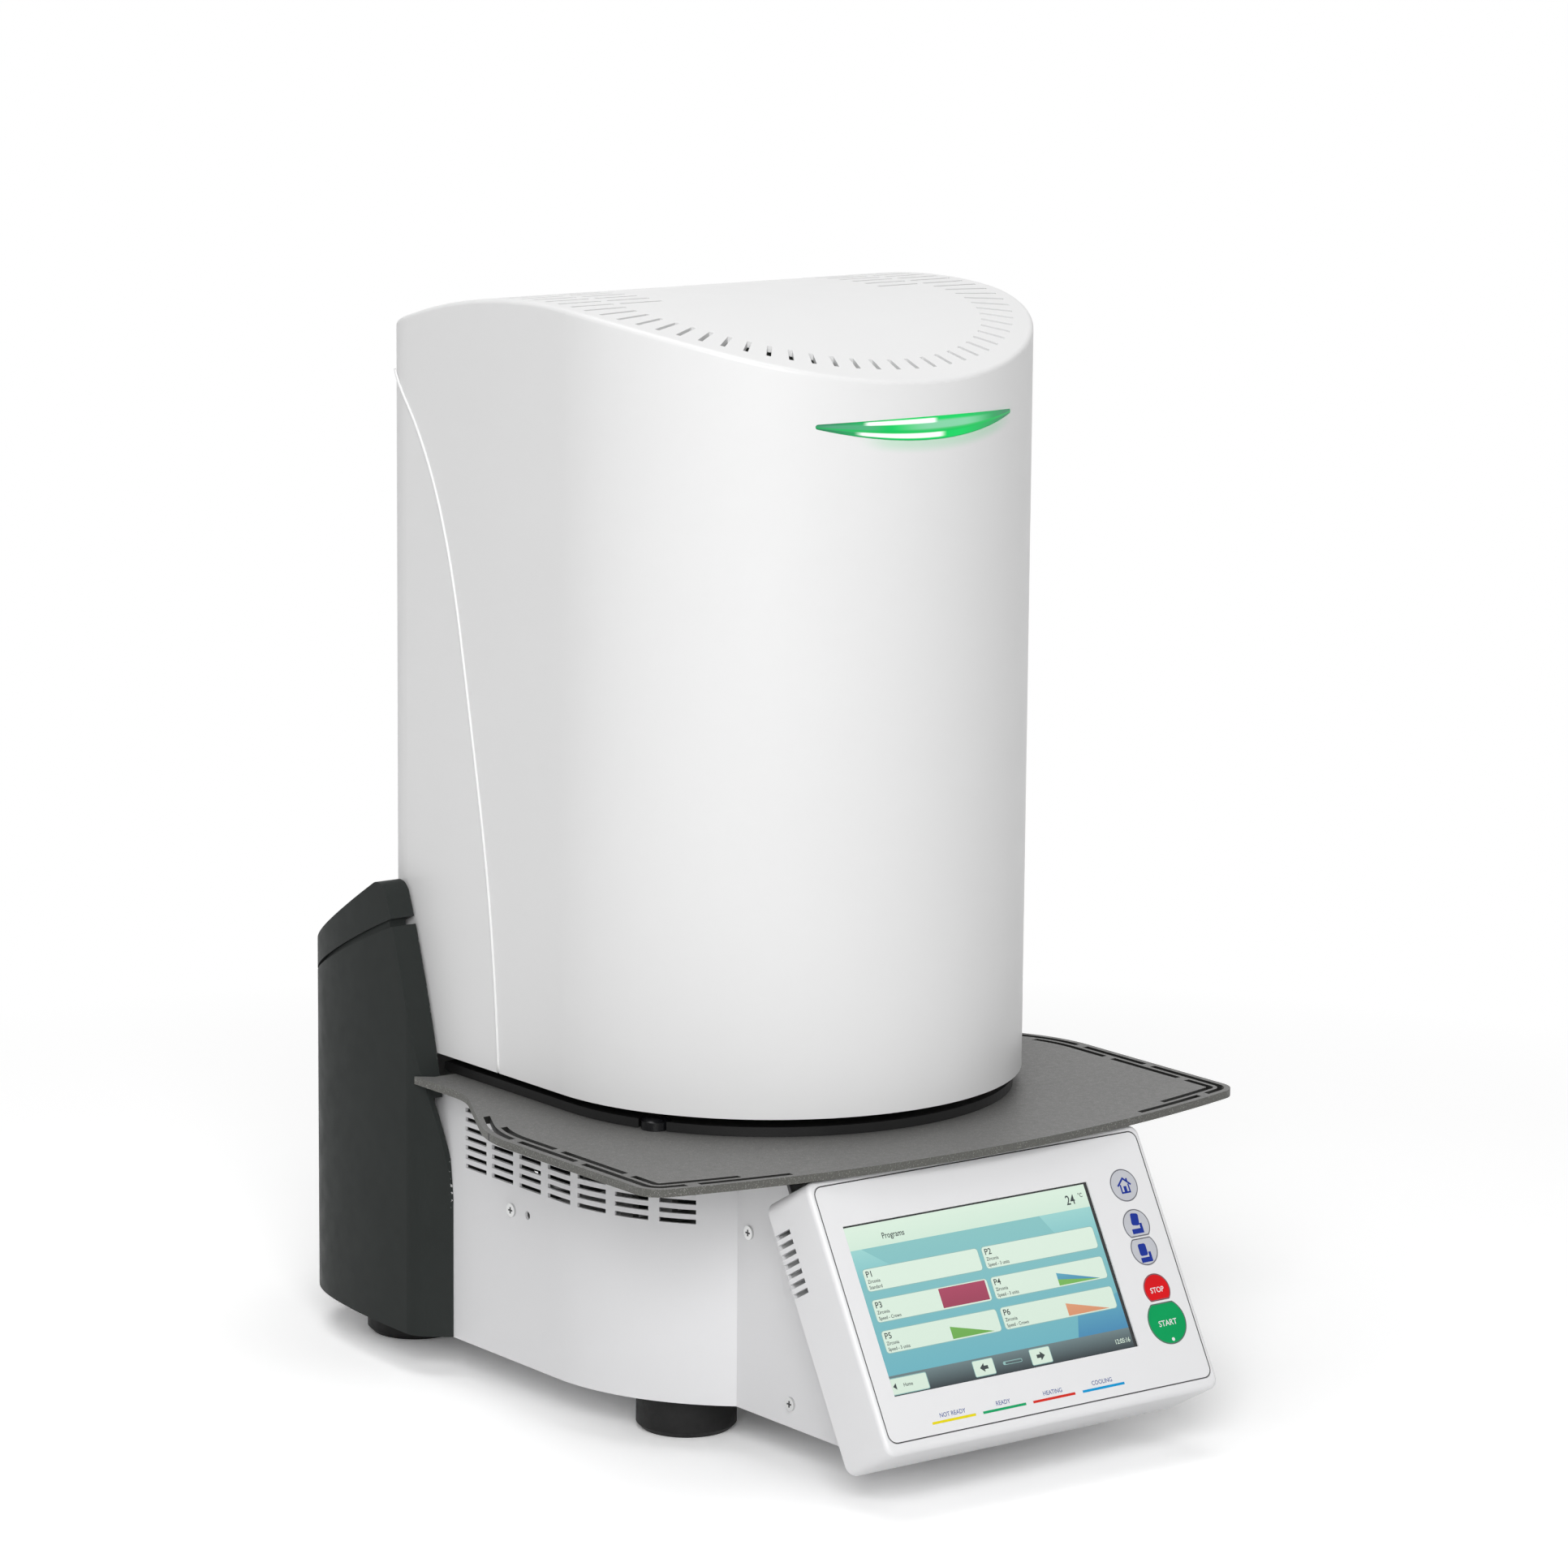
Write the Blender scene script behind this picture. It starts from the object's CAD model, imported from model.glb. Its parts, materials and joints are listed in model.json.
import json
import math

import bmesh
import bpy
from mathutils import Matrix, Vector
from mathutils.bvhtree import BVHTree


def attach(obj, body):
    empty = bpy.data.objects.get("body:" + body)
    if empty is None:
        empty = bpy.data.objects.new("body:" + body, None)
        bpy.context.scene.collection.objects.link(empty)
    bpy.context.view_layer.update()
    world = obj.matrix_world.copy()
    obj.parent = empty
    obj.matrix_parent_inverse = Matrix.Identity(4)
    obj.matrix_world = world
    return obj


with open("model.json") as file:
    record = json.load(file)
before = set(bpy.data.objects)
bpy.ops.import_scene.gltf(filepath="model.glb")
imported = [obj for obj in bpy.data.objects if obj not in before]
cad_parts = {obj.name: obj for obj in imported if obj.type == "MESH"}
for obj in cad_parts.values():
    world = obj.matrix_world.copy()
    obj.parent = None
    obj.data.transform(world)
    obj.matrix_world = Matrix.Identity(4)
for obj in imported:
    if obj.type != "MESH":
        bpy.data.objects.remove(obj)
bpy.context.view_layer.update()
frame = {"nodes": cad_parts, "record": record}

# The dental lab furnace dressed for a studio picture. Metres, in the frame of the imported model.

MM = 0.001

# ---- console panel: origin, tilt and the heights of its printed layers, in millimetres
PANEL_ORIGIN = Vector((0.0, -222.0, 98.2))
PANEL_TILT = math.radians(60.6)
PRINT_LEVEL = -0.02
KEY_PRINT_LEVEL = 0.03
SCREEN_LEVEL = -1.06
LAYER = 0.015

# ---- camera solved for the picture's viewpoint, in millimetres and radians
CAMERA_PLACE = Vector((-1830.0, -2445.9, 883.2))
CAMERA_TURN = math.radians(37.109)
CAMERA_DIP = math.radians(10.481)
CAMERA_ROLL = math.radians(0.504)
CAMERA_LENS = 136.84
SENSOR = 36.0


# ======== node helpers


def new_material(name):
    """An empty node material and its output node."""
    material = bpy.data.materials.new(name)
    material.use_nodes = True
    material.node_tree.nodes.clear()
    output = material.node_tree.nodes.new("ShaderNodeOutputMaterial")
    return material, output


def add_node(material, kind, **values):
    """A node whose properties and named inputs are set from values."""
    node = material.node_tree.nodes.new(kind)
    for key, value in values.items():
        if key in node.inputs:
            node.inputs[key].default_value = value
        else:
            setattr(node, key, value)
    return node


def join(material, source, target):
    material.node_tree.links.new(source, target)


def noise(material, vector, scale, detail=3.0):
    """A noise texture on the given coordinates."""
    node = add_node(material, "ShaderNodeTexNoise", Scale=scale, Detail=detail)
    join(material, vector, node.inputs["Vector"])
    return node.outputs["Fac"]


def remap(material, value, low, high, start=0.3, end=0.7):
    """value from start..end mapped to low..high."""
    node = add_node(material, "ShaderNodeMapRange")
    node.inputs["From Min"].default_value = start
    node.inputs["From Max"].default_value = end
    node.inputs["To Min"].default_value = low
    node.inputs["To Max"].default_value = high
    join(material, value, node.inputs["Value"])
    return node.outputs["Result"]


def blend_colours(material, factor, first, second):
    """Mix of two colours by factor; either may be a socket or an RGB tuple."""
    node = add_node(material, "ShaderNodeMix", data_type="RGBA")
    join(material, factor, node.inputs["Factor"])
    for index, colour in ((6, first), (7, second)):
        if isinstance(colour, tuple):
            node.inputs[index].default_value = (*colour, 1.0)
        else:
            join(material, colour, node.inputs[index])
    return node.outputs[2]


def calculate(material, operation, *values):
    """One arithmetic step; each value is a number or a socket."""
    node = add_node(material, "ShaderNodeMath", operation=operation)
    for index, value in enumerate(values):
        if isinstance(value, (int, float)):
            node.inputs[index].default_value = value
        else:
            join(material, value, node.inputs[index])
    return node.outputs[0]


def window(material, value, low, high, soft):
    """1 between low and high, falling smoothly to 0 over soft on each side."""
    parts = []
    for start, end in ((low - soft, low), (high + soft, high)):
        node = add_node(material, "ShaderNodeMapRange", interpolation_type="SMOOTHSTEP")
        node.inputs["From Min"].default_value = start
        node.inputs["From Max"].default_value = end
        join(material, value, node.inputs["Value"])
        parts.append(node.outputs["Result"])
    return calculate(material, "MULTIPLY", *parts)


def product(material, *values):
    """Several values multiplied together."""
    result = values[0]
    for value in values[1:]:
        result = calculate(material, "MULTIPLY", result, value)
    return result


def position(material, kind="Object"):
    """Coordinates of one kind, whole and split into X, Y and Z."""
    place = add_node(material, "ShaderNodeTexCoord")
    parts = add_node(material, "ShaderNodeSeparateXYZ")
    join(material, place.outputs[kind], parts.inputs["Vector"])
    return place.outputs[kind], parts.outputs


def shade(colour, factor):
    """A colour made darker or lighter."""
    return tuple(min(1.0, part * factor) for part in colour)


def surface(name, colour, rough, spread=0.02, mottle=14.0, grain=900.0, relief=0.00002, stretch=(1, 1, 1),
            rough_spread=0.05, dull=0.5, **extra):
    """A material with mottled colour, uneven gloss and a fine relief; dull is its specular level."""
    material, output = new_material(name)
    place = add_node(material, "ShaderNodeTexCoord")
    mapping = add_node(material, "ShaderNodeMapping")
    mapping.inputs["Scale"].default_value = stretch
    join(material, place.outputs["Object"], mapping.inputs["Vector"])
    where = mapping.outputs["Vector"]
    shader = add_node(material, "ShaderNodeBsdfPrincipled", **extra)
    shader.inputs["Specular IOR Level"].default_value = dull
    soft = remap(material, noise(material, where, mottle), 0.0, 1.0)
    tint = blend_colours(material, soft, shade(colour, 1 - spread), shade(colour, 1 + spread))
    join(material, tint, shader.inputs["Base Color"])
    gloss = remap(material, noise(material, where, mottle * 5), rough - rough_spread, rough + rough_spread)
    join(material, gloss, shader.inputs["Roughness"])
    bump = add_node(material, "ShaderNodeBump", Strength=1.0, Distance=relief)
    join(material, noise(material, where, grain, 2.0), bump.inputs["Height"])
    join(material, bump.outputs["Normal"], shader.inputs["Normal"])
    join(material, shader.outputs["BSDF"], output.inputs["Surface"])
    return material


def plain_colour(material):
    """The base colour socket of a surface material, and what feeds it."""
    shader = next(node for node in material.node_tree.nodes if node.type == "BSDF_PRINCIPLED")
    target = shader.inputs["Base Color"]
    return target, target.links[0].from_socket


# ======== materials of the machine

# ---- outline of the cooling tray, in metres
TRAY_SIDE, TRAY_SLOPE_X = 0.1892, 0.1492
TRAY_SLOPE_START, TRAY_SLOPE_END = -0.030, 0.046
TRAY_FRONT_RADIUS, TRAY_FRONT_MIDDLE = 0.6812, 0.4830
TRAY_CORNER = 0.014
TRAY_RIM = 0.0022
SLOT_DARK = (0.012, 0.012, 0.011)

# ---- front edge of the rear housing as a curve over height, and its inner edge, in metres
HOUSING_FOOT, HOUSING_LEAN, HOUSING_BEND = 0.0797, -0.061, 0.870
HOUSING_INNER = (0.130, 0.1337)
SCUFF_GREY = (0.45, 0.45, 0.45)

# ---- outline of the status lens, in metres
LENS_HALF = 0.0627
LENS_TOP, LENS_LOW = 0.5256, 0.5138
LENS_TOP_FALL, LENS_LOW_RISE = 0.0018, 0.0080
STREAK_WHITE = (1.2, 1.2, 1.2)


def tray_material(name, colour, edge_colour, speck, rough):
    """Pebbled powder coat with paler specks, olive on the outer edge and dark inside the slots."""
    material = surface(name, colour, rough, spread=0.03, mottle=60.0, grain=1400.0, relief=0.00010)
    target, plain = plain_colour(material)
    where, parts = position(material)
    wide = calculate(material, "ABSOLUTE", parts["X"])
    ahead = calculate(material, "SUBTRACT", TRAY_FRONT_MIDDLE, parts["Y"])
    square = calculate(material, "ADD", product(material, wide, wide), product(material, ahead, ahead))
    reach = calculate(material, "SQRT", square)
    corner = 0.0
    for depth in (calculate(material, "SUBTRACT", TRAY_SIDE, wide),
                  calculate(material, "SUBTRACT", TRAY_FRONT_RADIUS, reach)):
        short = calculate(material, "MAXIMUM", calculate(material, "SUBTRACT", TRAY_CORNER, depth), 0.0)
        corner = calculate(material, "ADD", product(material, short, short), corner)
    inside = calculate(material, "SUBTRACT", TRAY_CORNER, calculate(material, "SQRT", corner))
    fall = (TRAY_SIDE - TRAY_SLOPE_X) / (TRAY_SLOPE_END - TRAY_SLOPE_START)
    slope = calculate(material, "MULTIPLY_ADD", parts["Y"], fall, -TRAY_SIDE - TRAY_SLOPE_START * fall)
    beside = calculate(material, "SUBTRACT", product(material, slope, -1.0), wide)
    inside = calculate(material, "MINIMUM", inside, beside)
    facing = add_node(material, "ShaderNodeNewGeometry")
    normal = add_node(material, "ShaderNodeSeparateXYZ")
    join(material, facing.outputs["True Normal"], normal.inputs["Vector"])
    wall = calculate(material, "LESS_THAN", calculate(material, "ABSOLUTE", normal.outputs["Z"]), 0.5)
    slots = product(material, wall, calculate(material, "GREATER_THAN", inside, TRAY_RIM))
    colours = blend_colours(material, wall, plain, edge_colour)
    colours = blend_colours(material, slots, colours, SLOT_DARK)
    dots = remap(material, noise(material, where, 1500.0, 1.0), 0.0, 1.0, 0.60, 0.68)
    sparkle = product(material, dots, calculate(material, "SUBTRACT", 1.0, slots))
    join(material, blend_colours(material, sparkle, colours, speck), target)
    return material


def housing_material(name):
    """Satin dark grey plastic with small pale scuffs along the inner front edges."""
    material = surface(name, (0.030, 0.0335, 0.0322), 0.42, spread=0.05, mottle=20.0, grain=1800.0,
                       relief=0.00003, dull=0.04)
    target, plain = plain_colour(material)
    where, parts = position(material)
    bent = calculate(material, "MULTIPLY_ADD", parts["Z"], HOUSING_BEND, HOUSING_LEAN)
    front = calculate(material, "MULTIPLY_ADD", parts["Z"], bent, HOUSING_FOOT)
    edge = window(material, calculate(material, "SUBTRACT", parts["Y"], front), -0.002, 0.0006, 0.0012)
    inner = window(material, calculate(material, "ABSOLUTE", parts["X"]), *HOUSING_INNER, 0.0012)
    chips = remap(material, noise(material, where, 600.0, 3.0), 0.0, 1.0, 0.58, 0.64)
    scuffs = product(material, edge, inner, chips)
    join(material, blend_colours(material, scuffs, plain, SCUFF_GREY), target)
    return material


def lens_position(material):
    """A point's place, how far across (-1 to 1) and up (0 to 1) the lens, and metres above its low edge."""
    where, parts = position(material)
    across = calculate(material, "DIVIDE", parts["X"], LENS_HALF)
    square = product(material, across, across)
    low = calculate(material, "MULTIPLY_ADD", square, LENS_LOW_RISE, LENS_LOW)
    high = calculate(material, "MULTIPLY_ADD", square, -LENS_TOP_FALL, LENS_TOP)
    above = calculate(material, "SUBTRACT", parts["Z"], low)
    height = calculate(material, "DIVIDE", above, calculate(material, "SUBTRACT", high, low))
    return where, across, height, above


def lens_material():
    """The lit status light: clear green with two bright streaks, and darker towards its tips."""
    material, output = new_material("status_lens")
    where, across, height = lens_position(material)[:3]

    def patch(from_x, to_x, soft_x, from_up, to_up, soft_up):
        """1 within a range across and up the lens, with soft borders."""
        return product(material, window(material, across, from_x, to_x, soft_x),
                       window(material, height, from_up, to_up, soft_up))

    ends = remap(material, calculate(material, "ABSOLUTE", across), 0.0, 1.0, 0.32, 0.88)
    ripple = remap(material, noise(material, where, 900.0, 1.0), 0.9, 1.0)
    haze = product(material, patch(-0.85, -0.60, 0.2, 0.4, 0.7, 0.2), 0.6)
    crease = product(material, window(material, height, 0.36, 0.42, 0.10), 0.7)
    upper = product(material, patch(-0.56, 0.0, 0.07, 0.76, 0.88, 0.07), ripple)
    lower = product(material, patch(-0.60, 0.06, 0.10, 0.14, 0.27, 0.07), ripple)
    edge = calculate(material, "SUBTRACT", 1.0, window(material, height, 0.06, 0.96, 0.06))
    colour = blend_colours(material, ends, (0.0, 0.62, 0.11), (0.03, 0.20, 0.095))
    for factor, tint in (
        (patch(0.0, 0.34, 0.40, 0.48, 0.74, 0.14), (0.24, 0.62, 0.38)),
        (haze, (0.13, 0.40, 0.26)),
        (crease, (0.0, 0.50, 0.08)),
        (upper, STREAK_WHITE),
        (lower, STREAK_WHITE),
        (product(material, edge, 0.75), (0.0, 0.30, 0.10)),
    ):
        colour = blend_colours(material, factor, colour, tint)
    shader = add_node(material, "ShaderNodeBsdfPrincipled", Roughness=0.12)
    shader.inputs["Specular IOR Level"].default_value = 0.2
    shader.inputs["Emission Strength"].default_value = 1.0
    lit = remap(material, height, 0.0, 1.0, 0.0, 1.0)
    dim = blend_colours(material, lit, (0.0, 0.05, 0.016), (0.0, 0.07, 0.024))
    join(material, dim, shader.inputs["Base Color"])
    join(material, colour, shader.inputs["Emission Color"])
    join(material, shader.outputs["BSDF"], output.inputs["Surface"])
    return material


def hood_material(name):
    """White enamel with a faint green glow round the status light, on the front only."""
    material = surface(name, (0.80, 0.80, 0.80), 0.38, spread=0.006, mottle=9.0, grain=1300.0,
                       relief=0.000010, rough_spread=0.03)
    target, plain = plain_colour(material)
    ahead = position(material)[1]["Y"]
    across, above = lens_position(material)[1::2]
    near = window(material, above, -0.0012, 0.002, 0.006)
    beside = window(material, across, -0.35, 0.70, 0.35)
    front = window(material, ahead, -0.2, -0.07, 0.01)
    glow = product(material, near, beside, front, 0.55)
    join(material, blend_colours(material, glow, plain, (0.40, 0.74, 0.50)), target)
    return material


def screen_material(name, low, high, strength=0.72):
    """A lit area of the display that runs from one colour at its foot to another at its head."""
    material, output = new_material(name)
    grade = remap(material, position(material, "Generated")[1]["Y"], 0.0, 1.0, 0.0, 1.0)
    colour = blend_colours(material, grade, low, high)
    shader = add_node(material, "ShaderNodeBsdfPrincipled", Roughness=0.25)
    shader.inputs["Emission Strength"].default_value = strength
    join(material, colour, shader.inputs["Emission Color"])
    dark = blend_colours(material, grade, shade(low, 0.35), shade(high, 0.35))
    join(material, dark, shader.inputs["Base Color"])
    join(material, shader.outputs["BSDF"], output.inputs["Surface"])
    return material


def ink(name, colour):
    """Screen-printed ink: nearly even, with a trace of mottling."""
    return surface(name, colour, 0.45, spread=0.05, mottle=300.0, grain=2500.0, relief=0.000004, dull=0.15)


MATERIALS = {
    "hood_white": hood_material("hood_white"),
    "status_lens": lens_material(),
    "light_bar": surface("light_bar", (0.55, 0.95, 0.70), 0.4),
    "inner_steel": surface("inner_steel", (0.45, 0.45, 0.44), 0.38, spread=0.06, grain=500.0, relief=0.00001,
                           stretch=(1, 1, 30), Metallic=1.0),
    "insulation": surface("insulation", (0.78, 0.75, 0.67), 0.9, spread=0.07, mottle=40.0, grain=420.0,
                          relief=0.0004),
    "heating_element": surface("heating_element", (0.075, 0.065, 0.06), 0.45, spread=0.2, mottle=90.0,
                               grain=900.0, relief=0.00008),
    "ceramic_white": surface("ceramic_white", (0.72, 0.69, 0.62), 0.6, spread=0.05, mottle=60.0, grain=700.0,
                             relief=0.00006),
    "bright_steel": surface("bright_steel", (0.62, 0.62, 0.62), 0.22, spread=0.04, grain=900.0,
                            relief=0.000006, Metallic=1.0),
    "gear_steel": surface("gear_steel", (0.40, 0.40, 0.41), 0.32, spread=0.08, grain=800.0, relief=0.00002,
                          Metallic=1.0),
    "bronze": surface("bronze", (0.46, 0.28, 0.12), 0.38, spread=0.10, grain=1200.0, relief=0.00003,
                      Metallic=1.0),
    "motor_black": surface("motor_black", (0.02, 0.02, 0.022), 0.40, spread=0.15, grain=700.0,
                           relief=0.00003),
    "base_white": surface("base_white", (0.79, 0.79, 0.80), 0.46, spread=0.008, mottle=12.0, grain=1500.0,
                          relief=0.000014, rough_spread=0.03),
    "seal_dark": surface("seal_dark", (0.008, 0.008, 0.008), 0.50, spread=0.15, mottle=40.0, grain=900.0,
                         relief=0.00003, dull=0.3),
    "tray_dark": tray_material("tray_dark", (0.140, 0.139, 0.136), (0.085, 0.085, 0.076),
                               (0.22, 0.22, 0.205), 0.50),
    "knob_black": surface("knob_black", (0.006, 0.006, 0.007), 0.22, spread=0.2, grain=1200.0,
                          relief=0.00002, dull=0.4),
    "housing_grey": housing_material("housing_grey"),
    "socket_black": surface("socket_black", (0.012, 0.012, 0.012), 0.42, spread=0.2, grain=1400.0,
                            relief=0.00002),
    "bezel_white": surface("bezel_white", (0.82, 0.82, 0.83), 0.40, spread=0.006, mottle=14.0, grain=1700.0,
                           relief=0.000010, rough_spread=0.03),
    "membrane": surface("membrane", (0.83, 0.83, 0.84), 0.36, spread=0.006, mottle=20.0, grain=2600.0,
                        relief=0.000004, rough_spread=0.02),
    "display_glass": surface("display_glass", (0.012, 0.014, 0.015), 0.12, spread=0.1, grain=300.0,
                             relief=0.000001, rough_spread=0.02),
    "board_green": surface("board_green", (0.01, 0.10, 0.035), 0.4, spread=0.1, grain=900.0, relief=0.00003),
    "key_grey": surface("key_grey", (0.55, 0.56, 0.60), 0.38, spread=0.02, mottle=60.0, grain=2600.0,
                        relief=0.000006),
    "key_red": surface("key_red", (0.72, 0.008, 0.012), 0.38, spread=0.04, mottle=60.0, grain=2600.0,
                       relief=0.000006, dull=0.15),
    "key_green": surface("key_green", (0.0, 0.34, 0.10), 0.38, spread=0.04, mottle=60.0, grain=2600.0,
                         relief=0.000006, dull=0.15),
    "rubber": surface("rubber", (0.006, 0.006, 0.006), 0.62, spread=0.2, mottle=60.0, grain=900.0,
                      relief=0.00005, dull=0.3),
}
for entry in frame["record"]["subparts"]:
    node = frame["nodes"][entry["node"]]
    node.data.materials.clear()
    node.data.materials.append(MATERIALS[entry["material_slot"]])

BLUE_INK = ink("blue_ink", (0.012, 0.035, 0.30))
SLATE_INK = ink("slate_ink", (0.09, 0.13, 0.33))
WHITE_INK = ink("white_ink", (0.85, 0.85, 0.85))
RING_INK = ink("ring_ink", (0.13, 0.13, 0.15))
YELLOW_INK = ink("yellow_ink", (0.80, 0.68, 0.01))
GREEN_INK = ink("green_ink", (0.01, 0.36, 0.13))
RED_INK = ink("red_ink", (0.66, 0.03, 0.02))
SKY_INK = ink("sky_ink", (0.005, 0.32, 0.66))
EDGE_INK = ink("edge_ink", (0.045, 0.045, 0.045))
BEAD_WHITE = surface("bead_white", (0.88, 0.88, 0.88), 0.22, spread=0.01, mottle=40.0, grain=1500.0,
                     relief=0.000006)


# ======== piece helpers


def panel_matrix():
    """Turns (across, up, out) on the tilted panel, in millimetres, into the frame."""
    across = Vector((1, 0, 0))
    up = Vector((0, math.cos(PANEL_TILT), math.sin(PANEL_TILT)))
    out = Vector((0, -math.sin(PANEL_TILT), math.cos(PANEL_TILT)))
    turn = Matrix((across, up, out)).transposed().to_4x4()
    return Matrix.Translation(PANEL_ORIGIN * MM) @ turn @ Matrix.Scale(MM, 4)


PANEL = panel_matrix()


def finish_piece(mesh, name, material, body, matrix=PANEL):
    """Links a mesh, placed by matrix, as a piece that rides on a body, with its origin at its middle."""
    mesh.name = name
    mesh.transform(matrix)
    centre = sum((vertex.co for vertex in mesh.vertices), Vector()) / len(mesh.vertices)
    mesh.transform(Matrix.Translation(-centre))
    piece = bpy.data.objects.new(name, mesh)
    piece.location = centre
    bpy.context.scene.collection.objects.link(piece)
    mesh.materials.clear()
    mesh.materials.append(material)
    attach(piece, body)
    return piece


def flat(name, outlines, level, material, body="base"):
    """Printed flat shapes on the panel, one face for each outline."""
    mesh = bpy.data.meshes.new(name)
    shape = bmesh.new()
    for outline in outlines:
        corners = [shape.verts.new((x, u, level)) for x, u in outline]
        face = shape.faces.new(corners)
        face.normal_update()
        if face.normal.z < 0:
            face.normal_flip()
    shape.to_mesh(mesh)
    shape.free()
    return finish_piece(mesh, name, material, body)


def words(name, text, x, u, size, level, material, body="base", align="LEFT", stretch=1.0):
    """Printed words whose baseline starts, centres or ends at (x, u); size is the letter height."""
    curve = bpy.data.curves.new(name, "FONT")
    curve.body = text
    curve.align_x = align
    curve.size = size / 0.7
    curve.resolution_u = 3
    curve.offset = 0.016 * size
    holder = bpy.data.objects.new(name, curve)
    bpy.context.scene.collection.objects.link(holder)
    bpy.context.view_layer.update()
    mesh = bpy.data.meshes.new_from_object(holder.evaluated_get(bpy.context.evaluated_depsgraph_get()))
    bpy.data.objects.remove(holder)
    mesh.transform(Matrix.Translation((x, u, level)) @ Matrix.Diagonal((stretch, 1, 1, 1)))
    return finish_piece(mesh, name, material, body)


def box_outline(left, right, low, high):
    return [(left, low), (right, low), (right, high), (left, high)]


def rounded_outline(left, right, low, high, radius, steps=5):
    """A rectangle with round corners."""
    outline = []
    corners = ((right - radius, high - radius), (left + radius, high - radius),
               (left + radius, low + radius), (right - radius, low + radius))
    for quarter, (x, u) in enumerate(corners):
        for step in range(steps + 1):
            angle = math.radians(90 * quarter + 90 * step / steps)
            outline.append((x + radius * math.cos(angle), u + radius * math.sin(angle)))
    return outline


def turned(outline, x, u, degrees):
    """An outline turned about its own middle and moved to (x, u)."""
    spin = math.radians(degrees)
    return [(x + a * math.cos(spin) - b * math.sin(spin), u + a * math.sin(spin) + b * math.cos(spin))
            for a, b in outline]


# ======== the lit display

SCREEN_LEFT, SCREEN_RIGHT = -92.4, 61.6
SCREEN_LOW, SCREEN_HIGH = -43.2, 43.5
HEAD_BAR, FOOT_BAR = 31.6, -32.8
TILE_LEFTS = (-88.2, -13.4)
TILE_WIDE, TILE_TALL = 72.0, 11.2
TILE_TOP, TILE_PITCH = 21.4, 15.9

TEAL = screen_material("screen_teal", (0.13, 0.40, 0.47), (0.22, 0.50, 0.50))
PALE = screen_material("screen_pale", (0.60, 0.76, 0.64), (0.66, 0.80, 0.68))
TILE_FACE = screen_material("screen_tile", (0.62, 0.75, 0.64), (0.66, 0.79, 0.68))
DARK = screen_material("screen_dark", (0.012, 0.022, 0.028), (0.13, 0.19, 0.20))
DEEP = screen_material("screen_deep", (0.045, 0.22, 0.40), (0.10, 0.36, 0.47))
LIGHT_TEAL = screen_material("screen_light_teal", (0.17, 0.46, 0.50), (0.30, 0.60, 0.58))
SCREEN_TEXT = screen_material("screen_text", (0.030, 0.045, 0.045), (0.030, 0.045, 0.045), 0.6)
MAROON = screen_material("screen_maroon", (0.30, 0.035, 0.080), (0.36, 0.045, 0.10))
LEAF = screen_material("screen_leaf", (0.13, 0.36, 0.06), (0.16, 0.42, 0.08))
AMBER = screen_material("screen_amber", (0.62, 0.26, 0.13), (0.66, 0.30, 0.16))
EDGE = screen_material("screen_tile_edge", (0.28, 0.50, 0.48), (0.28, 0.50, 0.48), 0.6)


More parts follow.
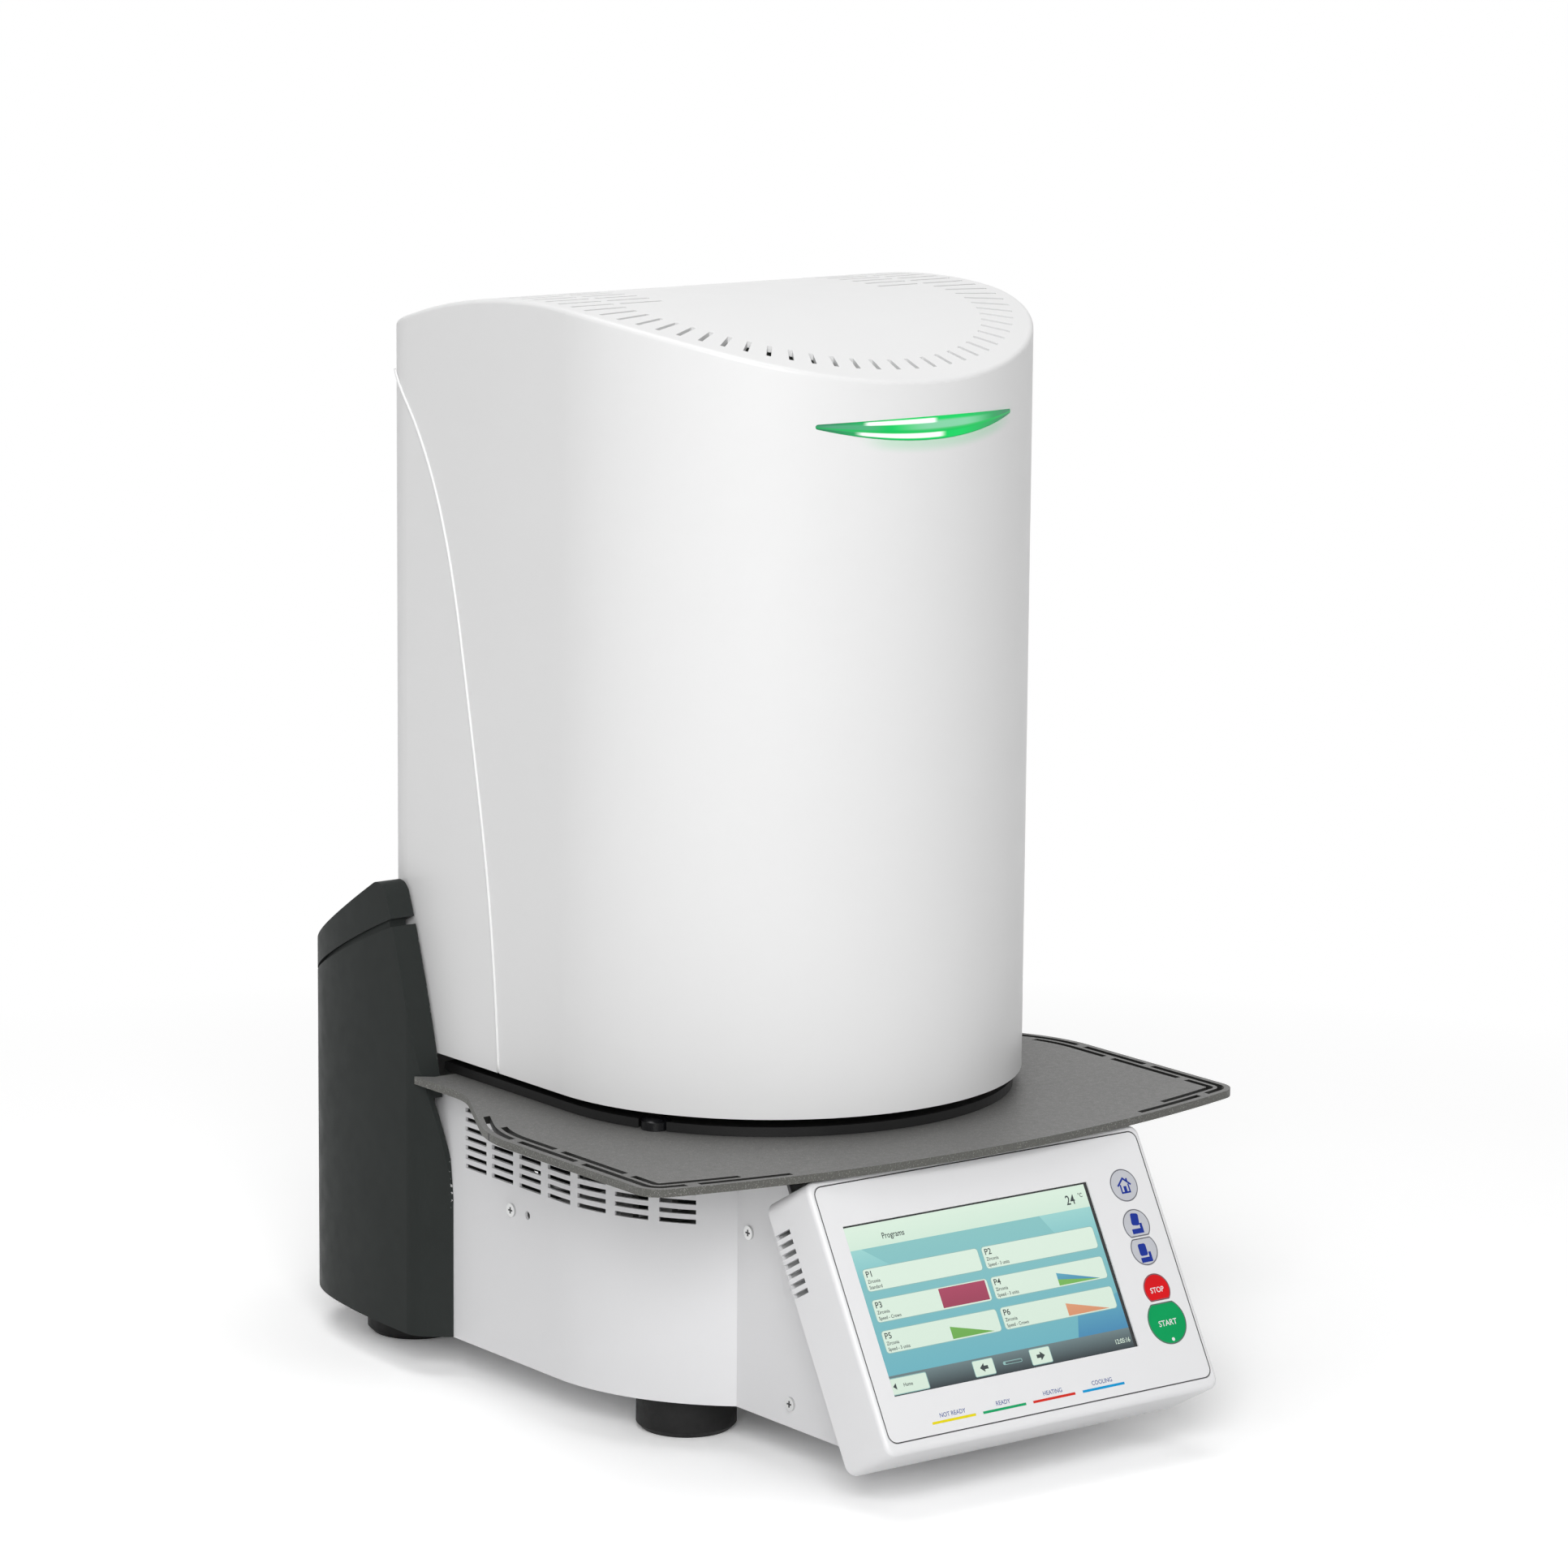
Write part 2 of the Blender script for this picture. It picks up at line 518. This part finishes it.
def build_display():
    """The picture on the display: bars, tiles, tags, arrows and generic words."""
    level = SCREEN_LEVEL
    flat("screen_body", [box_outline(SCREEN_LEFT, SCREEN_RIGHT, FOOT_BAR, HEAD_BAR)], level, TEAL)
    flat("screen_head_bar", [box_outline(SCREEN_LEFT, SCREEN_RIGHT, HEAD_BAR, SCREEN_HIGH)], level, PALE)
    flat("screen_foot_bar", [box_outline(SCREEN_LEFT, SCREEN_RIGHT, SCREEN_LOW, FOOT_BAR)], level, DARK)
    level += LAYER
    facet = [(29.0, FOOT_BAR), (33.0, -21.0), (SCREEN_RIGHT, -14.0), (SCREEN_RIGHT, FOOT_BAR)]
    flat("screen_deep_facet", [facet], level, DEEP)
    facets = [
        [(28.0, HEAD_BAR), (36.0, 19.0), (SCREEN_RIGHT, 16.0), (SCREEN_RIGHT, HEAD_BAR)],
        [(SCREEN_LEFT, HEAD_BAR), (-85.0, HEAD_BAR), (-70.0, 21.0), (SCREEN_LEFT, 12.0)],
    ]
    flat("screen_light_facets", facets, level, LIGHT_TEAL)
    level += LAYER
    edges = []
    tiles = []
    for row in range(3):
        for left in TILE_LEFTS:
            top = TILE_TOP - row * TILE_PITCH
            edges.append(rounded_outline(left - 0.35, left + TILE_WIDE + 0.35, top - TILE_TALL - 0.35,
                                         top + 0.35, 1.9))
            tiles.append(rounded_outline(left, left + TILE_WIDE, top - TILE_TALL, top, 1.6))
    edges.append(rounded_outline(SCREEN_LEFT, -69.2, -42.6, -34.0, 0.9))
    tiles.append(rounded_outline(SCREEN_LEFT + 0.5, -69.6, -42.2, -34.4, 0.7))
    for left in (-40.1, -3.8):
        edges.append(rounded_outline(left - 0.3, left + 12.9, -42.1, -33.7, 0.9))
        tiles.append(rounded_outline(left, left + 12.6, -41.8, -34.0, 0.7))
    edges.append(rounded_outline(-21.7, -9.5, -38.8, -37.0, 0.8))
    flat("screen_tile_edges", edges, level, EDGE)
    level += LAYER
    flat("screen_tiles", tiles, level, TILE_FACE)
    flat("screen_page_mark", [rounded_outline(-20.2, -9.9, -38.5, -37.3, 0.5)], level, DARK)
    level += LAYER
    left, right = TILE_LEFTS
    second, third = TILE_TOP - TILE_PITCH, TILE_TOP - 2 * TILE_PITCH
    flat("screen_tag_maroon", [box_outline(-46.8, -17.4, second - 10.5, second - 0.5)], level, MAROON)
    wedge = [(-46.8, third - 10.6), (-20.6, third - 10.6), (-46.8, third - 4.2)]
    wedge_low = [(27.4, second - 10.7), (53.8, second - 10.7), (27.4, second - 7.4)]
    flat("screen_tags_leaf", [wedge, wedge_low], level, LEAF)
    wedge_high = [(27.4, second - 7.4), (53.8, second - 10.7), (27.4, second - 4.0)]
    flat("screen_tag_teal", [wedge_high], level, DEEP)
    wedge = [(27.4, third - 10.7), (53.8, third - 10.7), (27.4, third - 4.1)]
    flat("screen_tag_amber", [wedge], level, AMBER)
    arrow = [(-2.6, 0.0), (0.2, 2.3), (0.2, 0.9), (2.6, 0.9), (2.6, -0.9), (0.2, -0.9), (0.2, -2.3)]
    arrows = [turned(arrow, -33.8, -37.9, 0), turned(arrow, 2.5, -37.9, 180)]
    arrows.append([(-91.0, -38.3), (-88.9, -36.6), (-88.9, -40.0)])
    flat("screen_arrows", arrows, level, SCREEN_TEXT)
    level += LAYER
    kinds = ("Standard", "Speed - 3 units", "Speed - Crown", "Speed - 3 units", "Speed - 3 units",
             "Speed - Crown")
    for number in range(6):
        row, column = divmod(number, 2)
        x = TILE_LEFTS[column] + 1.2
        top = TILE_TOP - row * TILE_PITCH
        words(f"screen_program_{number + 1}", f"P{number + 1}", x, top - 4.1, 3.1, level, SCREEN_TEXT)
        words(f"screen_material_{number + 1}", "Zirconia", x, top - 7.2, 1.75, level, SCREEN_TEXT,
              stretch=0.9)
        words(f"screen_kind_{number + 1}", kinds[number], x, top - 10.2, 1.75, level, SCREEN_TEXT,
              stretch=0.9)
    words("screen_title", "Programs", -70.5, 35.0, 3.0, level, SCREEN_TEXT, stretch=0.85)
    words("screen_degrees", "24", 47.4, 34.4, 4.9, level, SCREEN_TEXT, stretch=0.85)
    words("screen_unit", "°C", 55.9, 37.2, 2.2, level, SCREEN_TEXT, stretch=0.85)
    words("screen_home", "Home", -84.6, -39.1, 1.8, level, SCREEN_TEXT, stretch=0.9)
    words("screen_clock", "12:05:16", 60.2, -39.9, 2.4, level, TILE_FACE, align="RIGHT", stretch=0.85)


# ======== printing on the membrane and on the keys

LEGEND_LEVEL_U = -60.0
LEGENDS = (
    ("NOT READY", -75.3, -48.0, YELLOW_INK),
    ("READY", -43.4, -16.1, GREEN_INK),
    ("HEATING", -11.6, 15.5, RED_INK),
    ("COOLING", 20.3, 47.5, SKY_INK),
)
MEMBRANE_HALF_WIDE, MEMBRANE_HALF_TALL = 103.6, 66.1
KEY_X = 86.0
# middle height, radius, height of the flat, side of the flat that is kept
KEY_SHAPES = {
    "key_home": (38.9, 8.6, 0.0, 0),
    "key_open_head": (17.6, 8.4, 11.5, 1),
    "key_close_head": (4.5, 8.4, 10.6, -1),
    "key_stop": (-16.8, 8.3, -22.6, 1),
    "key_start": (-33.8, 12.0, -24.0, -1),
}


def key_outline(middle, radius, cut, side, inset, steps=72):
    """Outline of one key, moved inwards by inset."""
    outline = []
    for step in range(steps):
        angle = 2 * math.pi * step / steps
        x = KEY_X + (radius - inset) * math.cos(angle)
        u = middle + (radius - inset) * math.sin(angle)
        if side > 0:
            u = max(u, cut + inset)
        if side < 0:
            u = min(u, cut - inset)
        outline.append((x, u))
    return outline


def key_ring(name):
    """The thin dark outline printed round one key."""
    outer = key_outline(*KEY_SHAPES[name], 0.08)
    inner = key_outline(*KEY_SHAPES[name], 0.55)
    strips = []
    for step in range(len(outer)):
        after = (step + 1) % len(outer)
        strips.append([outer[step], outer[after], inner[after], inner[step]])
    flat(name + "_ring", strips, KEY_PRINT_LEVEL, RING_INK, name + "_body")


def build_printing():
    """Legends under the screen, rings and symbols on the keys."""
    for number, (text, left, right, colour) in enumerate(LEGENDS):
        bar = box_outline(left, right, LEGEND_LEVEL_U - 0.65, LEGEND_LEVEL_U + 0.65)
        flat(f"legend_bar_{number + 1}", [bar], PRINT_LEVEL, colour)
        words(f"legend_word_{number + 1}", text, (left + right) / 2, LEGEND_LEVEL_U + 2.1, 2.2, PRINT_LEVEL,
              SLATE_INK, align="CENTER", stretch=0.92)
    rim = []
    for inset in (0.0, 0.5):
        rim.append(rounded_outline(-MEMBRANE_HALF_WIDE + inset, MEMBRANE_HALF_WIDE - inset,
                                   -MEMBRANE_HALF_TALL + inset, MEMBRANE_HALF_TALL - inset, 5.0 - inset))
    strips = []
    for index in range(len(rim[0])):
        after = (index + 1) % len(rim[0])
        strips.append([rim[0][index], rim[0][after], rim[1][after], rim[1][index]])
    flat("membrane_edge", strips, PRINT_LEVEL, EDGE_INK)
    for name in KEY_SHAPES:
        key_ring(name)
    level = KEY_PRINT_LEVEL
    roof = [(86.2, 43.3), (81.6, 39.1), (82.3, 38.4), (86.2, 41.9), (90.1, 38.4), (90.8, 39.1)]
    left_wall = box_outline(83.2, 84.1, 34.9, 39.4)
    right_wall = box_outline(88.3, 89.2, 34.9, 39.4)
    sill = box_outline(83.2, 89.2, 34.6, 35.5)
    door = box_outline(85.3, 87.2, 35.5, 38.4)
    chimney = box_outline(88.0, 89.0, 40.6, 42.4)
    flat("home_symbol", [roof[:3] + [roof[3]], [roof[0], roof[3], roof[4], roof[5]], left_wall, right_wall,
                         sill, door, chimney], level, BLUE_INK, "key_home_body")
    head = rounded_outline(-2.5, 2.5, -3.2, 3.2, 1.2)
    foot = [(82.2, -2.3), (89.5, -2.3), (89.5, 2.9), (87.9, 2.9), (87.9, 0.3), (82.2, 0.3)]
    flat("open_symbol", [turned(head, 85.9, 20.6, -9), [(x, u + 15.4) for x, u in foot[:4]] +
                         [(87.9, 15.7), (82.2, 15.7)]], level, BLUE_INK, "key_open_head_body")
    flat("close_symbol", [turned(head, 85.0, 4.5, 0), [(x, u + 0.1) for x, u in foot]], level, BLUE_INK,
         "key_close_head_body")
    words("stop_word", "STOP", 85.9, -18.4, 2.8, level, WHITE_INK, "key_stop_body", "CENTER", 0.92)
    words("start_word", "START", 86.1, -36.0, 3.0, level, WHITE_INK, "key_start_body", "CENTER", 0.95)
    dot = [(86.4 + 0.95 * math.cos(a * math.pi / 12), -43.4 + 0.95 * math.sin(a * math.pi / 12))
           for a in range(24)]
    flat("start_light", [dot], level, WHITE_INK, "key_start_body")


# ======== bead along the seam of the hood

BEAD_WIDE, BEAD_HIGH = 1.8, 0.8
BEAD_PROFILE = ((-0.5, -0.3), (-0.42, 0.7), (-0.15, 1.0), (0.15, 1.0), (0.42, 0.7), (0.5, -0.3))
SEAM_KNOTS = ((41.8, 199.4), (44.7, 230.8), (48.6, 262.0), (53.6, 293.1), (59.6, 324.0), (65.9, 354.8),
              (72.3, 385.7), (79.2, 416.4), (88.1, 446.6), (99.9, 475.7), (115.9, 502.9), (136.0, 527.0))
SEAM_FOOT, SEAM_END = (40.0, 173.6), (138.0, 528.4)
SEAM_STEPS = 4
SEAM_MIDDLE, SEAM_BACK = 0.6, 1.4
SEAM_FACING = 0.75
OUTSIDE, THROUGH = 160.0, 60.0


def seam_line(side):
    """Middle of the seam on one flank, from the bottom up, and the way the skin faces there."""
    mesh = frame["nodes"]["hood_shell"].data
    tree = BVHTree.FromPolygons([vertex.co for vertex in mesh.vertices],
                                [tuple(polygon.vertices) for polygon in mesh.polygons])
    knots = [Vector(knot) for knot in (SEAM_FOOT, SEAM_FOOT, *SEAM_KNOTS, SEAM_END, SEAM_END)]
    line = []
    for before, first, second, after in zip(knots, knots[1:], knots[2:], knots[3:]):
        for step in range(SEAM_STEPS):
            t = step / SEAM_STEPS
            bend = (before * 2 - first * 5 + second * 4 - after) * t ** 2
            twist = (first * 3 - before - second * 3 + after) * t ** 3
            point = (first * 2 + (second - before) * t + bend + twist) / 2
            start = Vector((side * OUTSIDE, point.x - SEAM_BACK, point.y + SEAM_BACK)) * MM
            place, normal = tree.ray_cast(start, Vector((-side, 0, 0)), THROUGH * MM)[:2]
            if place is not None and abs(normal.x) > SEAM_FACING:
                line.append((Vector((place.x / MM, point.x + SEAM_MIDDLE, point.y)), normal))
    return line


def build_bead(side, hand):
    """Thin raised bead that covers the seam on one flank of the hood."""
    line = seam_line(side)
    mesh = bpy.data.meshes.new("seam_bead_" + hand)
    shape = bmesh.new()
    rings = []
    for index, (point, outward) in enumerate(line):
        before, after = line[max(index - 1, 0)][0], line[min(index + 1, len(line) - 1)][0]
        across = (after - before).normalized().cross(outward).normalized()
        rings.append([shape.verts.new(point + across * BEAD_WIDE * a + outward * BEAD_HIGH * h)
                      for a, h in BEAD_PROFILE])
    for first, second in zip(rings, rings[1:]):
        for index in range(len(first) - 1):
            shape.faces.new((first[index], first[index + 1], second[index + 1], second[index]))
        shape.faces.new((first[-1], first[0], second[0], second[-1]))
    shape.faces.new(rings[0])
    shape.faces.new(reversed(rings[-1]))
    bmesh.ops.recalc_face_normals(shape, faces=shape.faces)
    shape.to_mesh(mesh)
    shape.free()
    piece = finish_piece(mesh, "seam_bead_" + hand, BEAD_WHITE, "head", Matrix.Scale(MM, 4))
    for polygon in piece.data.polygons:
        polygon.use_smooth = True


# ======== screw recesses

SCREW_SPOTS = ((87.5, -117.2, 115.1), (87.5, -152.9, 34.3), (132.6, 28.1, 102.7))
SCREW_HEAD = 1.2
RECESS_ARM, RECESS_SHARE = 1.7, 0.22
RECESS_DEEP, RECESS_LIFT = 0.12, 0.14


def cross_recess(name, centre, outward):
    """A dark cross-shaped recess sunk into a screw's head."""
    mesh = bpy.data.meshes.new(name)
    shape = bmesh.new()
    arm, half = RECESS_ARM, RECESS_ARM * RECESS_SHARE
    outline = [(half, half), (half, arm), (-half, arm), (-half, half), (-arm, half), (-arm, -half),
               (-half, -half), (-half, -arm), (half, -arm), (half, -half), (arm, -half), (arm, half)]
    face = shape.faces.new([shape.verts.new((x, y, 0)) for x, y in outline])
    bmesh.ops.inset_region(shape, faces=[face], thickness=half * 0.5, depth=-RECESS_DEEP)
    shape.to_mesh(mesh)
    shape.free()
    turn = outward.to_track_quat("Z", "Y").to_matrix().to_4x4()
    matrix = Matrix.Scale(MM, 4) @ Matrix.Translation(centre + outward * RECESS_LIFT) @ turn
    return finish_piece(mesh, name, MATERIALS["knob_black"], "base", matrix)


def build_recesses():
    """The recesses of the six side screws."""
    for number, (x, y, z) in enumerate(SCREW_SPOTS):
        for side, hand in ((-1, "left"), (1, "right")):
            centre = Vector((side * (x + SCREW_HEAD), y, z))
            cross_recess(f"screw_recess_{hand}_{number + 1}", centre, Vector((side, 0, 0)))


# ======== studio

FLOOR_HALF = 6.0
FLOOR_GLOW = 0.04
FLOOR_PALE = (1.30, 1.30, 1.30)
FLOOR_FADE = (0.45, 1.0)
WORLD_FILL = 0.33
WHITE = (1, 1, 1, 1)
LIGHT_AIM = (0.0, 0.0, 0.3)


def build_camera():
    """The camera at the picture's viewpoint."""
    out = Vector((-math.sin(CAMERA_TURN) * math.cos(CAMERA_DIP),
                  -math.cos(CAMERA_TURN) * math.cos(CAMERA_DIP), math.sin(CAMERA_DIP)))
    right = Vector((math.cos(CAMERA_TURN), -math.sin(CAMERA_TURN), 0))
    up = out.cross(right)
    level_right = right * math.cos(CAMERA_ROLL) + up * math.sin(CAMERA_ROLL)
    level_up = up * math.cos(CAMERA_ROLL) - right * math.sin(CAMERA_ROLL)
    data = bpy.data.cameras.new("camera")
    data.lens = CAMERA_LENS
    data.sensor_width = SENSOR
    data.sensor_fit = "HORIZONTAL"
    data.clip_start = 0.1
    data.clip_end = 30.0
    camera = bpy.data.objects.new("camera", data)
    turn = Matrix((level_right, level_up, out)).transposed().to_4x4()
    camera.matrix_world = Matrix.Translation(CAMERA_PLACE * MM) @ turn
    bpy.context.scene.collection.objects.link(camera)
    bpy.context.scene.camera = camera


def seen_directly(material):
    """1 for rays from the camera, from a reflection or through glass."""
    path = add_node(material, "ShaderNodeLightPath")
    bounced = calculate(material, "MAXIMUM", path.outputs["Is Glossy Ray"],
                        path.outputs["Is Transmission Ray"])
    return calculate(material, "MAXIMUM", path.outputs["Is Camera Ray"], bounced)


def build_floor():
    """A plain pale floor that keeps the object's shadow and turns white away from it."""
    material, output = new_material("floor_white")
    place = add_node(material, "ShaderNodeTexCoord")
    diffuse = add_node(material, "ShaderNodeBsdfDiffuse")
    patches = remap(material, noise(material, place.outputs["Object"], 1.2), 0.0, 1.0)
    join(material, blend_colours(material, patches, (0.83, 0.83, 0.83), (0.85, 0.85, 0.85)),
         diffuse.inputs["Color"])
    glow = add_node(material, "ShaderNodeEmission", Strength=FLOOR_GLOW)
    white = add_node(material, "ShaderNodeEmission", Strength=1.0)
    both = add_node(material, "ShaderNodeAddShader")
    pale = add_node(material, "ShaderNodeBsdfDiffuse", Color=(*FLOOR_PALE, 1.0))
    join(material, pale.outputs["BSDF"], both.inputs[0])
    join(material, glow.outputs["Emission"], both.inputs[1])
    distance = add_node(material, "ShaderNodeVectorMath", operation="LENGTH")
    join(material, place.outputs["Object"], distance.inputs[0])
    far = remap(material, distance.outputs["Value"], 0.0, 1.0, *FLOOR_FADE)
    seen = add_node(material, "ShaderNodeMixShader")
    join(material, far, seen.inputs["Fac"])
    join(material, both.outputs["Shader"], seen.inputs[1])
    join(material, white.outputs["Emission"], seen.inputs[2])
    choose = add_node(material, "ShaderNodeMixShader")
    join(material, seen_directly(material), choose.inputs["Fac"])
    join(material, diffuse.outputs["BSDF"], choose.inputs[1])
    join(material, seen.outputs["Shader"], choose.inputs[2])
    join(material, choose.outputs["Shader"], output.inputs["Surface"])
    mesh = bpy.data.meshes.new("floor")
    shape = bmesh.new()
    bmesh.ops.create_grid(shape, x_segments=2, y_segments=2, size=FLOOR_HALF)
    shape.to_mesh(mesh)
    shape.free()
    mesh.materials.append(material)
    floor = bpy.data.objects.new("floor", mesh)
    bpy.context.scene.collection.objects.link(floor)


def build_world():
    """White to the camera, to reflections and through glass, and a soft fill to everything else."""
    world = bpy.data.worlds.new("studio")
    bpy.context.scene.world = world
    world.use_nodes = True
    world.node_tree.nodes.clear()
    output = add_node(world, "ShaderNodeOutputWorld")
    fill = add_node(world, "ShaderNodeBackground", Color=WHITE, Strength=WORLD_FILL)
    white = add_node(world, "ShaderNodeBackground", Color=WHITE, Strength=1.0)
    choose = add_node(world, "ShaderNodeMixShader")
    join(world, seen_directly(world), choose.inputs["Fac"])
    join(world, fill.outputs["Background"], choose.inputs[1])
    join(world, white.outputs["Background"], choose.inputs[2])
    join(world, choose.outputs["Shader"], output.inputs["Surface"])


def softbox(name, place, size, power):
    """One large, soft, square area light that faces the machine."""
    data = bpy.data.lights.new(name, "AREA")
    data.shape = "RECTANGLE"
    data.size = size
    data.size_y = size
    data.energy = power
    light = bpy.data.objects.new(name, data)
    light.location = place
    light.rotation_mode = "QUATERNION"
    light.rotation_quaternion = (Vector(LIGHT_AIM) - Vector(place)).to_track_quat("-Z", "Y")
    bpy.context.scene.collection.objects.link(light)


def build_lights():
    """A key light from the front left and a wide light overhead."""
    softbox("key_light", (-1.68, -2.18, 1.5), 1.4, 50.0)
    softbox("top_light", (-0.2, 0.2, 2.3), 1.8, 18.0)


build_display()
build_printing()
build_recesses()
build_bead(-1, "left")
build_bead(1, "right")
build_camera()
build_floor()
build_world()
build_lights()
bpy.context.scene.view_settings.view_transform = "Standard"
